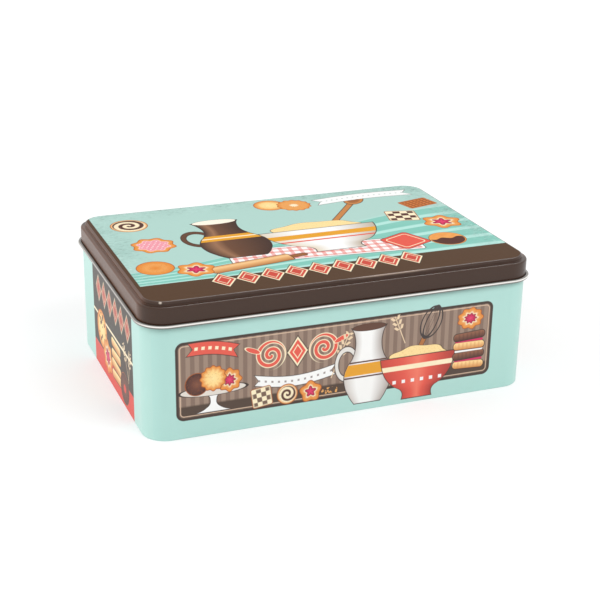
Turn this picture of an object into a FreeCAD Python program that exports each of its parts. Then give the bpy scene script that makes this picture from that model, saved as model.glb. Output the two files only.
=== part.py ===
"""Cookie tin with a lift-off lid, made the way tinplate boxes are made.

Three pressed pieces: the wall, a strip bent round into a rounded rectangle and
locked by a seam at the back; the base, a shallow tray whose folded rim is
clinched into the wall's lower edge; and the lid, a drawn cap with a raised top
and its lower edge rolled outward over itself.

Millimetres. X runs along the tin, Y from front to back, Z up. The origin is the
middle of the surface that the tin stands on.
"""
import FreeCAD, Part
import os
import Sketcher
from FreeCAD import Vector
from math import cos, radians, sin

document = FreeCAD.newDocument("CookieTin")

# ---------------------------------------------------------------- sizes
SIZES = [
    ("tin_width", 200, "wall to wall along X, outside"),
    ("tin_depth", 136, "wall to wall along Y, outside"),
    ("wall_height", 67.05, "floor to the top of the wall's rolled edge"),
    ("corner_radius", 12, "outside of the wall's upright corners"),
    ("sheet", 0.25, "tinplate, the same in all three pieces"),
    ("wall_curl", 1.5, "diameter of the wall's top edge, rolled inward"),
    ("wall_curl_turn", 290, "degrees that this edge is rolled through"),
    ("seam_bend", 0.2, "inner bend radius where the wall turns in at the floor"),
    ("hem_gap", 0.2, "between the two layers of the base's folded rim"),
    ("seam_play", 0.1, "round the folded rim inside the wall's hook"),
    ("hook_gap", 0.4, "from the top of a folded edge to what is over it"),
    ("side_seam_width", 4.5, "lock seam down the back wall"),
    ("side_seam_place", 46, "middle of the lock seam from the tin's middle"),
    ("side_seam_end", 1, "plain wall left over each end of the lock seam"),
    ("base_recess", 3.2, "floor to the underside of the base"),
    ("base_bend", 0.35, "inner bend radius of the base's rim"),
    ("base_border", 9, "flat border of the base round its raised middle"),
    ("base_raise", 0.9, "height of the base's raised middle"),
    ("base_step_bend", 0.2, "inner bend radius at the top of the base's step"),
    ("base_step_foot", 0.35, "bend radius at the foot of the base's step"),
    ("lid_side_gap", 0.4, "between the wall and the lid's skirt"),
    ("lid_seat_gap", 0.1, "between the wall's rolled edge and the lid"),
    ("lid_skirt", 9.9, "lid's rolled edge to its shoulder, over all"),
    ("lid_curl", 1.9, "diameter of the lid's lower edge, rolled outward"),
    ("lid_curl_turn", 300, "degrees that this edge is rolled through"),
    ("shoulder_width", 2.35, "skirt's outside to the riser of the raised top"),
    ("shoulder_bend", 0.65, "inner bend radius of the lid's shoulder"),
    ("top_raise", 2, "height of the lid's raised top over the shoulder"),
    ("top_bend", 0.8, "inner bend radius round the lid's raised top"),
    ("riser_foot", 0.4, "bend radius where the riser meets the shoulder"),
    ("riser_flat", 0.05, "least upright stretch left between two bends"),
]

sheet = document.addObject("Spreadsheet::Sheet", "Sizes")
for row, (alias, millimetres, meaning) in enumerate(SIZES, start=1):
    sheet.set("A%d" % row, alias)
    sheet.set("B%d" % row, str(millimetres))
    sheet.set("C%d" % row, meaning)
    sheet.setAlias("B%d" % row, alias)
document.recompute()


def value(expression):
    """Number that an expression over the sheet's cells comes to."""
    return float(sheet.evalExpression(expression))


def outline_sizes(inset):
    """Expressions for half the length, half the depth and the corner of an outline.

    The inset is measured inward from the outside of the wall, so a negative one
    makes an outline that lies outside the wall.
    """
    half_x = "Sizes.tin_width / 2 - (%s)" % inset
    half_y = "Sizes.tin_depth / 2 - (%s)" % inset
    corner = "Sizes.corner_radius - (%s)" % inset
    return half_x, half_y, corner


# Expressions that the wall and the base share
BASE_TOP = "(Sizes.base_recess + Sizes.sheet)"
HOOK_TOP = "(Sizes.base_recess - Sizes.hook_gap)"
HEM_WIDTH = "(2 * Sizes.sheet + Sizes.hem_gap)"


# ---------------------------------------------------------------- shared steps
def new_sketch(body, name, role, height):
    """Empty sketch on one of the body's own planes, moved along its normal."""
    sketch = body.newObject("Sketcher::SketchObject", name)
    plane = next(feature for feature in body.Origin.OriginFeatures if feature.Role == role)
    sketch.AttachmentSupport = [(plane, "")]
    sketch.MapMode = "FlatFace"
    sketch.setExpression("AttachmentOffset.Base.z", height)
    return sketch


def bind(sketch, name, expression, *constraint):
    """Add one dimension to a sketch and tie it to the sheet."""
    index = sketch.addConstraint(Sketcher.Constraint(*constraint, value(expression)))
    sketch.renameConstraint(index, name)
    sketch.setExpression("Constraints." + name, expression)


def rounded_rectangle(sketch, inset, prefix):
    """Centred outline that keeps the wall's shape, an inset away from it.

    It starts in the middle of the front, so that it can also lead a sweep.
    """
    sizes = outline_sizes(inset)
    half_x, half_y, radius = [value(size) for size in sizes]
    start = Vector(0, -half_y)
    here = start
    first = sketch.GeometryCount
    corners = [(1, -1, -90), (1, 1, 0), (-1, 1, 90), (-1, -1, 180)]
    for side_x, side_y, angle in corners:
        centre = Vector(side_x * (half_x - radius), side_y * (half_y - radius))
        turn = radians(angle)
        reach = centre + Vector(cos(turn), sin(turn)) * radius
        circle = Part.Circle(centre, Vector(0, 0, 1), radius)
        sketch.addGeometry(Part.LineSegment(here, reach))
        sketch.addGeometry(Part.ArcOfCircle(circle, turn, turn + radians(90)))
        here = centre + Vector(cos(turn + radians(90)), sin(turn + radians(90))) * radius
    sketch.addGeometry(Part.LineSegment(here, start))
    front, right, back, left, front_end = range(first, first + 9, 2)
    arcs = [first + 1, first + 3, first + 5, first + 7]
    for piece in range(first, first + 8):
        sketch.addConstraint(Sketcher.Constraint("Tangent", piece, 2, piece + 1, 1))
    sketch.addConstraint(Sketcher.Constraint("Tangent", front_end, 2, front, 1))
    sketch.addConstraint(Sketcher.Constraint("PointOnObject", front, 1, -2))
    sketch.addConstraint(Sketcher.Constraint("Horizontal", front))
    sketch.addConstraint(Sketcher.Constraint("Horizontal", back))
    sketch.addConstraint(Sketcher.Constraint("Vertical", right))
    sketch.addConstraint(Sketcher.Constraint("Vertical", left))
    for arc in arcs[1:]:
        sketch.addConstraint(Sketcher.Constraint("Equal", arcs[0], arc))
    sketch.addConstraint(Sketcher.Constraint("Symmetric", arcs[0], 3, arcs[2], 3, -1, 1))
    bind(sketch, prefix + "_x", sizes[0], "DistanceX", -1, 1, right, 1)
    bind(sketch, prefix + "_y", sizes[1], "DistanceY", -1, 1, back, 1)
    bind(sketch, prefix + "_corner", sizes[2], "Radius", arcs[0])


def slab(body, name, inset, bottom, height):
    """Solid rounded block, from its bottom upward."""
    sketch = new_sketch(body, name + "Outline", "XY_Plane", bottom)
    rounded_rectangle(sketch, inset, "outer")
    pad = body.newObject("PartDesign::Pad", name)
    pad.Profile = sketch
    pad.setExpression("Length", height)
    document.recompute()
    return pad


def band(body, name, outer_inset, inner_inset, bottom, height):
    """Upright or flat band of sheet that follows the wall all the way round."""
    sketch = new_sketch(body, name + "Outline", "XY_Plane", bottom)
    rounded_rectangle(sketch, outer_inset, "outer")
    rounded_rectangle(sketch, inner_inset, "inner")
    pad = body.newObject("PartDesign::Pad", name)
    pad.Profile = sketch
    pad.setExpression("Length", height)
    document.recompute()
    return pad


def edges_of_outline(shape, inset, height):
    """Names of the edges that lie on one outline at one height."""
    half_x, half_y, corner = [value(size) for size in outline_sizes(inset)]
    level = value(height)
    names = []
    for index, edge in enumerate(shape.Edges, start=1):
        ends = [edge.valueAt(edge.FirstParameter), edge.valueAt(edge.LastParameter)]
        if any(abs(point.z - level) > 1e-4 for point in ends):
            continue
        middle = edge.valueAt((edge.FirstParameter + edge.LastParameter) / 2)
        outside_x = max(abs(middle.x) - (half_x - corner), 0)
        outside_y = max(abs(middle.y) - (half_y - corner), 0)
        if abs((outside_x**2 + outside_y**2) ** 0.5 - corner) < 1e-4:
            names.append("Edge%d" % index)
    return names


def bend(body, name, base, places, radius):
    """Round the edges of one or more outlines; places are (inset, height)."""
    names = []
    for inset, height in places:
        names += edges_of_outline(base.Shape, inset, height)
    fillet = body.newObject("PartDesign::Fillet", name)
    fillet.Base = (base, names)
    fillet.setExpression("Radius", radius)
    document.recompute()
    return fillet


def hollow(body, name, base, bottom):
    """Leave only the sheet of a block that is open below."""
    level = value(bottom)
    names = []
    for index, face in enumerate(base.Shape.Faces, start=1):
        if abs(face.BoundBox.ZMax - level) < 1e-4:
            names.append("Face%d" % index)
    shell = body.newObject("PartDesign::Thickness", name)
    shell.Base = (base, names)
    shell.Mode = "Skin"
    shell.Join = "Arc"
    shell.Reversed = True
    shell.setExpression("Value", "Sizes.sheet")
    document.recompute()
    return shell


def rolled_edge(body, name, inset, height, diameter, first_angle, last_angle):
    """Sheet rolled round into a tube along the outline; angles are seen from +X.

    The tube's middle lies on the outline. The first and the last angle are
    counter-clockwise, with 0 pointing to the inside of the tin at its front.
    """
    spine = new_sketch(body, name + "Path", "XY_Plane", height)
    rounded_rectangle(spine, inset, "path")
    profile = new_sketch(body, name + "Section", "YZ_Plane", "0")
    half_y = outline_sizes(inset)[1]
    middle = Vector(-value(half_y), value(height))
    outer = value(diameter) / 2
    inner = outer - value("Sizes.sheet")
    start = radians(value(first_angle))
    end = radians(value(last_angle))
    axis = Vector(0, 0, 1)
    outside = profile.addGeometry(Part.ArcOfCircle(Part.Circle(middle, axis, outer), start, end))
    inside = profile.addGeometry(Part.ArcOfCircle(Part.Circle(middle, axis, inner), start, end))
    lips = []
    for angle in (start, end):
        way = Vector(cos(angle), sin(angle))
        lips.append(profile.addGeometry(Part.LineSegment(middle + way * inner, middle + way * outer)))
    profile.addConstraint(Sketcher.Constraint("Coincident", outside, 3, inside, 3))
    for lip, point in zip(lips, (1, 2)):
        profile.addConstraint(Sketcher.Constraint("Coincident", lip, 1, inside, point))
        profile.addConstraint(Sketcher.Constraint("Coincident", lip, 2, outside, point))
    bind(profile, "middle_y", half_y, "DistanceX", outside, 3, -1, 1)
    bind(profile, "middle_z", height, "DistanceY", -1, 1, outside, 3)
    bind(profile, "outer_radius", diameter + " / 2", "Radius", outside)
    bind(profile, "inner_radius", diameter + " / 2 - Sizes.sheet", "Radius", inside)
    for lip, angle, label in zip(lips, (first_angle, last_angle), ("first", "last")):
        index = profile.addConstraint(Sketcher.Constraint("Angle", lip, radians(value(angle))))
        profile.renameConstraint(index, label)
        profile.setExpression("Constraints." + label, "(%s) * 1 deg" % angle)
        profile.addConstraint(Sketcher.Constraint("PointOnObject", outside, 3, lip))
    pipe = body.newObject("PartDesign::AdditivePipe", name)
    pipe.Profile = profile
    pipe.Spine = (spine, [])
    pipe.Mode = "Binormal"
    pipe.Binormal = axis
    document.recompute()
    return pipe


# ---------------------------------------------------------------- wall
def make_wall():
    """Strip of tinplate: rolled in at the top, hooked round the base at the floor."""
    wall = document.addObject("PartDesign::Body", "Wall")
    wall.Label = "body_wall"
    seam_width = "(%s + 2 * Sizes.sheet + Sizes.seam_play)" % HEM_WIDTH
    leg_inset = "(%s - Sizes.sheet)" % seam_width
    curl_inset = "Sizes.wall_curl / 2"
    curl_height = "(Sizes.wall_height - Sizes.wall_curl / 2)"
    band(wall, "Side", "0", "Sizes.sheet", "0", curl_height)
    band(wall, "HookFloor", "0", seam_width, "0", "Sizes.sheet")
    hook = band(wall, "HookLeg", leg_inset, seam_width, "0", HOOK_TOP)
    outer_bend = "Sizes.seam_bend + Sizes.sheet"
    folded = bend(wall, "HookOutside", hook, [("0", "0"), (seam_width, "0")], outer_bend)
    channel = [("Sizes.sheet", "Sizes.sheet"), (leg_inset, "Sizes.sheet")]
    bend(wall, "HookInside", folded, channel, "Sizes.seam_bend")
    first_angle = "180 - Sizes.wall_curl_turn"
    rolled_edge(wall, "TopCurl", curl_inset, curl_height, "Sizes.wall_curl", first_angle, "180")
    add_side_seam(wall)
    return wall


def add_side_seam(wall):
    """Two extra layers of sheet inside the back wall, where the strip's ends lock."""
    bottom = "(%s + Sizes.side_seam_end)" % BASE_TOP
    top = "(Sizes.wall_height - Sizes.wall_curl - Sizes.side_seam_end)"
    sketch = new_sketch(wall, "SideSeamOutline", "XY_Plane", bottom)
    inner_face = outline_sizes("Sizes.sheet")[1]
    near = value(inner_face + " - 2 * Sizes.sheet")
    far = value(inner_face)
    left = value("Sizes.side_seam_place - Sizes.side_seam_width / 2")
    right = value("Sizes.side_seam_place + Sizes.side_seam_width / 2")
    corners = [Vector(left, near), Vector(right, near), Vector(right, far), Vector(left, far)]
    for here, there in zip(corners, corners[1:] + corners[:1]):
        sketch.addGeometry(Part.LineSegment(here, there))
    for side in range(4):
        sketch.addConstraint(Sketcher.Constraint("Coincident", side, 2, (side + 1) % 4, 1))
    for side, way in enumerate(["Horizontal", "Vertical", "Horizontal", "Vertical"]):
        sketch.addConstraint(Sketcher.Constraint(way, side))
    bind(sketch, "far", inner_face, "DistanceY", -1, 1, 2, 1)
    bind(sketch, "layers", "2 * Sizes.sheet", "DistanceY", 1, 1, 1, 2)
    bind(sketch, "breadth", "Sizes.side_seam_width", "DistanceX", 0, 1, 0, 2)
    place = "Sizes.side_seam_place - Sizes.side_seam_width / 2"
    bind(sketch, "place", place, "DistanceX", -1, 1, 0, 1)
    pad = wall.newObject("PartDesign::Pad", "SideSeam")
    pad.Profile = sketch
    pad.setExpression("Length", top + " - " + bottom)
    document.recompute()


# ---------------------------------------------------------------- base
def make_base():
    """Shallow upturned tray with a raised middle; its folded rim sits in the hook."""
    base = document.addObject("PartDesign::Body", "Base")
    base.Label = "base"
    rim_inset = "Sizes.sheet"
    rim_bottom = "(Sizes.sheet + Sizes.seam_play)"
    step_inset = "(Sizes.sheet + Sizes.base_border)"
    step_top = "(%s + Sizes.base_raise)" % BASE_TOP
    slab(base, "Tray", rim_inset, rim_bottom, BASE_TOP + " - " + rim_bottom)
    blank = slab(base, "Middle", step_inset, BASE_TOP, "Sizes.base_raise")
    step_room = "Sizes.base_raise - Sizes.base_step_foot - Sizes.riser_flat"
    step_bend = "min(Sizes.base_step_bend + Sizes.sheet; %s)" % step_room
    blank = bend(base, "StepEdge", blank, [(step_inset, step_top)], step_bend)
    blank = bend(base, "StepFoot", blank, [(step_inset, BASE_TOP)], "Sizes.base_step_foot")
    rim_bend = "Sizes.base_bend + Sizes.sheet"
    blank = bend(base, "RimEdge", blank, [(rim_inset, BASE_TOP)], rim_bend)
    hollow(base, "TraySheet", blank, rim_bottom)
    hem_inset = "(Sizes.sheet + %s)" % HEM_WIDTH
    band(base, "HemFloor", rim_inset, hem_inset, rim_bottom, "Sizes.sheet")
    leg_height = "%s - Sizes.hook_gap - %s" % (HOOK_TOP, rim_bottom)
    hem = band(base, "HemLeg", hem_inset + " - Sizes.sheet", hem_inset, rim_bottom, leg_height)
    bend(base, "HemFold", hem, [(rim_inset, rim_bottom), (hem_inset, rim_bottom)], "Sizes.sheet")
    return base


# ---------------------------------------------------------------- lid
def make_lid():
    """Drawn cap: a raised top, a narrow shoulder, a skirt and a rolled edge."""
    lid = document.addObject("PartDesign::Body", "Lid")
    lid.Label = "lid"
    skirt_inset = "(-Sizes.lid_side_gap - Sizes.sheet)"
    shoulder = "(Sizes.wall_height + Sizes.lid_seat_gap + Sizes.sheet)"
    curl_inset = "(-Sizes.lid_side_gap - Sizes.lid_curl / 2)"
    curl_height = "(%s - Sizes.lid_skirt + Sizes.lid_curl / 2)" % shoulder
    top_inset = "(%s + Sizes.shoulder_width)" % skirt_inset
    top = "(%s + Sizes.top_raise)" % shoulder
    slab(lid, "Skirt", skirt_inset, curl_height, shoulder + " - " + curl_height)
    blank = slab(lid, "RaisedTop", top_inset, shoulder, "Sizes.top_raise")
    top_room = "Sizes.top_raise - Sizes.riser_foot - Sizes.riser_flat"
    top_bend = "min(Sizes.top_bend + Sizes.sheet; %s)" % top_room
    blank = bend(lid, "TopEdge", blank, [(top_inset, top)], top_bend)
    blank = bend(lid, "RiserFoot", blank, [(top_inset, shoulder)], "Sizes.riser_foot")
    shoulder_bend = "Sizes.shoulder_bend + Sizes.sheet"
    blank = bend(lid, "ShoulderEdge", blank, [(skirt_inset, shoulder)], shoulder_bend)
    hollow(lid, "LidSheet", blank, curl_height)
    first_angle = "360 - Sizes.lid_curl_turn"
    rolled_edge(lid, "LowerCurl", curl_inset, curl_height, "Sizes.lid_curl", first_angle, "360")
    return lid


# ---------------------------------------------------------------- check and write
pieces = [make_wall(), make_base(), make_lid()]
document.recompute()
for item in document.Objects:
    if "Invalid" in item.State or "Error" in item.State:
        raise RuntimeError("%s did not build: %s" % (item.Name, item.State))
os.makedirs("parts", exist_ok=True)
for piece in pieces:
    if piece.Shape.isNull() or not piece.Shape.isValid():
        raise RuntimeError("%s has no sound shape" % piece.Label)
for piece in pieces:
    piece.Shape.exportStep("parts/%s.step" % piece.Label)
    print("%-10s %9.1f mm3, %d solid" % (piece.Label, piece.Shape.Volume, len(piece.Shape.Solids)))
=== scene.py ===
from math import cos, hypot, pi, radians, sin

import bpy
from mathutils import Matrix, Vector


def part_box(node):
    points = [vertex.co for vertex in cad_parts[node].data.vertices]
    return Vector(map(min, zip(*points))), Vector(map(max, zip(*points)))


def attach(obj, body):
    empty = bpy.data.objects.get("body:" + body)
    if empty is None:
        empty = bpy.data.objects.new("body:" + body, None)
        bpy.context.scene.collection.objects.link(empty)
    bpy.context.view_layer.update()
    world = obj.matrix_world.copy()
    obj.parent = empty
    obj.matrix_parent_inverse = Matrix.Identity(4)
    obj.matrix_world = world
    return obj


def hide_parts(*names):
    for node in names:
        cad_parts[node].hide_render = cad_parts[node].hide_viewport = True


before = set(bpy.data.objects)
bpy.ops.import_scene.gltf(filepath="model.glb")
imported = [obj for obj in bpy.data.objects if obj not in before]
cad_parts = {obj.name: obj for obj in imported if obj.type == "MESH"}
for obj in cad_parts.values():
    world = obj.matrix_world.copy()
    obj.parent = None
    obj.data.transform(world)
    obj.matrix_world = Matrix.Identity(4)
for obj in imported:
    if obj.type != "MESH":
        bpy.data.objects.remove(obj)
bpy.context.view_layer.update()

# ---------------------------------------------------------------- Wall
# One strip of 0.25 mm tinplate bent round into a rounded rectangle. Its top
# edge is rolled inward, its lower edge is hooked inward round the base's rim.
MM = 0.001
HAIR = 0.005 * MM
SHEET = 0.25 * MM
CORNER = 12 * MM
CORNER_STEPS = 20
HOOK_FLAT = 0.4 * MM
HOOK_BEND = 0.45 * MM
HOOK_LEG = 2.8 * MM
WALL_CURL = 0.75 * MM
WALL_CURL_TURN = 290
UNPRINTED = 65.7 * MM
GROOVE_PLACE = 44 * MM
GROOVE_HALF_WIDE = 0.2 * MM
GROOVE_DEEP = 0.12 * MM
SMOOTH_UP_TO = radians(35)

wall_low, wall_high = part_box("body_wall")


class Strip:
    """Edge of a sheet, drawn as it is bent: straight runs and round bends.

    It lies across the front of the tin, where a corner begins, and is seen from
    the right-hand end of the tin: heading 0 points to the back, 90 points up.
    """

    def __init__(self, name, x, y, z, heading):
        bpy.ops.object.select_all(action="DESELECT")
        bpy.ops.mesh.primitive_plane_add(size=SHEET, location=(x, y, z))
        self.piece = bpy.context.object
        self.piece.name = name
        bpy.ops.object.transform_apply(location=True, rotation=False, scale=False)
        bpy.ops.object.mode_set(mode="EDIT")
        bpy.ops.mesh.select_all(action="SELECT")
        bpy.ops.mesh.merge(type="CENTER")
        self.x = x
        self.y = y
        self.z = z
        self.heading = radians(heading)

    def run(self, length):
        """Go straight on."""
        step = (0, cos(self.heading) * length, sin(self.heading) * length)
        bpy.ops.mesh.extrude_vertices_move(TRANSFORM_OT_translate={"value": step})
        self.y += step[1]
        self.z += step[2]
        return self

    def bend(self, radius, turn, steps=8):
        """Turn by that many degrees, to the left if it is positive."""
        side = self.heading + radians(90 if turn > 0 else -90)
        middle_y = self.y + cos(side) * radius
        middle_z = self.z + sin(side) * radius
        axis = (-1 if turn > 0 else 1, 0, 0)
        middle = (self.x, middle_y, middle_z)
        bpy.ops.mesh.spin(steps=steps, angle=radians(abs(turn)), center=middle, axis=axis)
        self.heading += radians(turn)
        end = self.heading + radians(-90 if turn > 0 else 90)
        self.y = middle_y + cos(end) * radius
        self.z = middle_z + sin(end) * radius
        return self


def take(piece, wanted):
    """Select the vertices whose place is wanted, and what lies between them."""
    bpy.ops.mesh.select_mode(type="VERT")
    bpy.ops.mesh.select_all(action="DESELECT")
    bpy.ops.object.mode_set(mode="OBJECT")
    chosen = [wanted(vertex.co) for vertex in piece.data.vertices]
    piece.data.vertices.foreach_set("select", chosen)
    bpy.ops.object.mode_set(mode="EDIT")
    bpy.ops.mesh.select_mode(type="VERT")


def take_round(strip, corner_middle):
    """Lead the strip round one corner, out to the two middle planes, and mirror it."""
    bpy.ops.mesh.select_all(action="SELECT")
    middle_x, middle_y = corner_middle
    middle = (middle_x, middle_y, 0)
    bpy.ops.mesh.spin(steps=CORNER_STEPS, angle=radians(90), center=middle, axis=(0, 0, -1))
    for along, level in ((0, middle_x), (1, middle_y)):
        take(strip.piece, lambda place: abs(place[along] - level) < HAIR)
        to_middle = [0, 0, 0]
        to_middle[along] = -level
        bpy.ops.mesh.extrude_edges_move(TRANSFORM_OT_translate={"value": to_middle})
    bpy.ops.object.mode_set(mode="OBJECT")
    mirror = strip.piece.modifiers.new("other_sides", "MIRROR")
    mirror.use_axis = (True, True, False)
    mirror.merge_threshold = HAIR
    bpy.ops.object.modifier_apply(modifier=mirror.name)
    bpy.ops.object.mode_set(mode="EDIT")
    bpy.ops.mesh.select_all(action="SELECT")
    bpy.ops.mesh.remove_doubles(threshold=HAIR)


def cover(piece, wanted):
    """Close the opening whose edge is wanted with one flat face."""
    take(piece, wanted)
    bpy.ops.mesh.edge_face_add()


def give_thickness(piece, finishes):
    """Turn the surface into sheet that lies behind it, and smooth its bends.

    The surface gets the first finish, the sheet's back and edges the second.
    """
    for finish in finishes:
        piece.data.materials.append(finish)
    bpy.ops.mesh.select_all(action="SELECT")
    bpy.ops.mesh.normals_make_consistent(inside=False)
    bpy.ops.object.mode_set(mode="OBJECT")
    sheet = piece.modifiers.new("sheet", "SOLIDIFY")
    sheet.thickness = SHEET
    sheet.offset = -1
    sheet.use_even_offset = True
    sheet.material_offset = 1
    sheet.material_offset_rim = 1
    bpy.ops.object.modifier_apply(modifier=sheet.name)
    bpy.ops.object.shade_smooth_by_angle(angle=SMOOTH_UP_TO)
    normals = piece.modifiers.new("flat_faces_stay_flat", "WEIGHTED_NORMAL")
    normals.keep_sharp = True
    normals.weight = 90
    bpy.ops.object.modifier_apply(modifier=normals.name)


def press_groove(piece, wanted, middle, half_wide, depth):
    """Press a fine upright groove into the back, through the vertices that are wanted."""
    for level in (middle - half_wide, middle, middle + half_wide):
        take(piece, wanted)
        bpy.ops.mesh.bisect(plane_co=(level, 0, 0), plane_no=(1, 0, 0))
    take(piece, lambda place: wanted(place) and abs(place.x - middle) < HAIR)
    bpy.ops.transform.translate(value=(0, -depth, 0))


def share_out(piece, choose):
    """Give each face of the outside the finish that its place and direction call for."""
    for face in piece.data.polygons:
        if face.material_index == 0:
            face.material_index = choose(face.center, face.normal)


class Value:
    """A number that varies over a surface. Sums with it add Math nodes."""

    def __init__(self, socket):
        self.socket = socket

    def math(self, operation, *others, clamp=False, before=None):
        """Add a Math node. The item called before goes into it ahead of this value."""
        node = self.socket.id_data.nodes.new("ShaderNodeMath")
        node.operation = operation
        node.use_clamp = clamp
        items = (self,) + others if before is None else (before, self)
        for number, item in enumerate(items):
            feed(node.inputs[number], item)
        return Value(node.outputs[0])

    def __add__(self, other):
        return self.math("ADD", other)

    __radd__ = __add__

    def __sub__(self, other):
        return self.math("SUBTRACT", other)

    def __rsub__(self, other):
        return self.math("SUBTRACT", before=other)

    def __mul__(self, other):
        return self.math("MULTIPLY", other)

    __rmul__ = __mul__

    def __truediv__(self, other):
        return self.math("DIVIDE", other)

    def __rtruediv__(self, other):
        return self.math("DIVIDE", before=other)

    def __neg__(self):
        return self.math("MULTIPLY", -1)

    def __abs__(self):
        return self.math("ABSOLUTE")

    def and_(self, other):
        """The distance from the edge of what both shapes cover."""
        return self.math("MAXIMUM", other)


def feed(socket, item):
    """Link a value to a socket, or set the socket to a plain number or colour."""
    if isinstance(item, Value):
        item.socket.id_data.links.new(item.socket, socket)
    else:
        socket.default_value = item


def ink(red, green, blue):
    """A colour from its eight-bit display values."""
    parts = [part / 255 for part in (red, green, blue)]
    linear = [
        part / 12.92 if part <= 0.04045 else ((part + 0.055) / 1.055) ** 2.4
        for part in parts
    ]
    return (*linear, 1)


class Finish:
    """A material under construction, with its shader and one way to add nodes."""

    def __init__(self, name, constants):
        self.material = bpy.data.materials.new(name)
        self.material.use_nodes = True
        self.tree = self.material.node_tree
        self.shader = self.tree.nodes["Principled BSDF"]
        for socket, amount in constants.items():
            self.shader.inputs[socket].default_value = amount
        self.place = self.node("ShaderNodeTexCoord", {}, {}, "Object")

    def node(self, kind, settings, inputs, output=0):
        """Add a node of a kind, and give the value of one of its outputs."""
        node = self.tree.nodes.new(kind)
        for setting, amount in settings.items():
            setattr(node, setting, amount)
        for socket, item in inputs.items():
            feed(node.inputs[socket], item)
        return Value(node.outputs[output])

    def mix(self, share, first, second):
        """Go from the first colour to the second as the share goes from 0 to 1."""
        settings = {"data_type": "RGBA"}
        return self.node("ShaderNodeMix", settings, {0: share, 6: first, 7: second}, 2)

    def between(self, value, low, high):
        """0 at the low amount, 1 at the high one, straight between and level beyond."""
        return value.math("MULTIPLY_ADD", 1 / (high - low), -low / (high - low), clamp=True)

    def noise(self, place, scale, detail=2, roughness=0.5):
        inputs = {"Vector": place, "Scale": scale, "Detail": detail, "Roughness": roughness}
        return self.node("ShaderNodeTexNoise", {}, inputs)

    def specks(self, scale):
        """Distance from the nearest of many scattered points."""
        inputs = {"Vector": self.place, "Scale": scale}
        return self.node("ShaderNodeTexVoronoi", {"feature": "F1"}, inputs)

    def vector(self, operation, *places, output=0):
        """Work on places. Output 1 is a number, such as a length."""
        inputs = dict(enumerate(places))
        return self.node("ShaderNodeVectorMath", {"operation": operation}, inputs, output)

    def length(self, place):
        return self.vector("LENGTH", place, output=1)

    def axes(self, place):
        """The three parts of a place."""
        parts = self.node("ShaderNodeSeparateXYZ", {}, {0: place}).socket.node.outputs
        return [Value(part) for part in parts]

    def bump(self, height, strength, distance):
        """Tilt the shading as if the surface had that height."""
        inputs = {"Strength": strength, "Distance": distance, "Height": height}
        feed(self.shader.inputs["Normal"], self.node("ShaderNodeBump", {}, inputs))


class Spot:
    """A motif's own axes on a face, u along it and v across it.

    Its shapes are distances from their edge, which are negative inside.
    """

    def __init__(self, face, place):
        self.face = face
        self.place = place
        self.u, self.v = face.axes(place)[:2]

    def far(self):
        return self.face.length(self.place)

    def angle(self):
        return self.v.math("ARCTAN2", self.u)

    def disc(self, radius):
        return self.far() - radius

    def petals(self, radius, count, depth):
        return self.far() - radius - depth * (self.angle() * count).math("COSINE")

    def box(self, half_long, half_wide, corner=0.01):
        place = self.face.vector("ABSOLUTE", self.place)
        place = self.face.vector("SUBTRACT", place, (half_long - corner, half_wide - corner, 0))
        return self.face.length(self.face.vector("MAXIMUM", place, (0, 0, 0))) - corner

    def turned(self, low, high, half_widths):
        """A turned shape, given by its half widths at even steps from foot to rim."""
        widest = max(half_widths)
        level = (self.v - low) * (1 / (high - low))
        half = widest * self.face.curve(level, [half_width / widest for half_width in half_widths])
        side = abs(self.u) - half
        self.across = self.u / half
        return side.and_(abs(self.v - (low + high) / 2) - (high - low) / 2)


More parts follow.
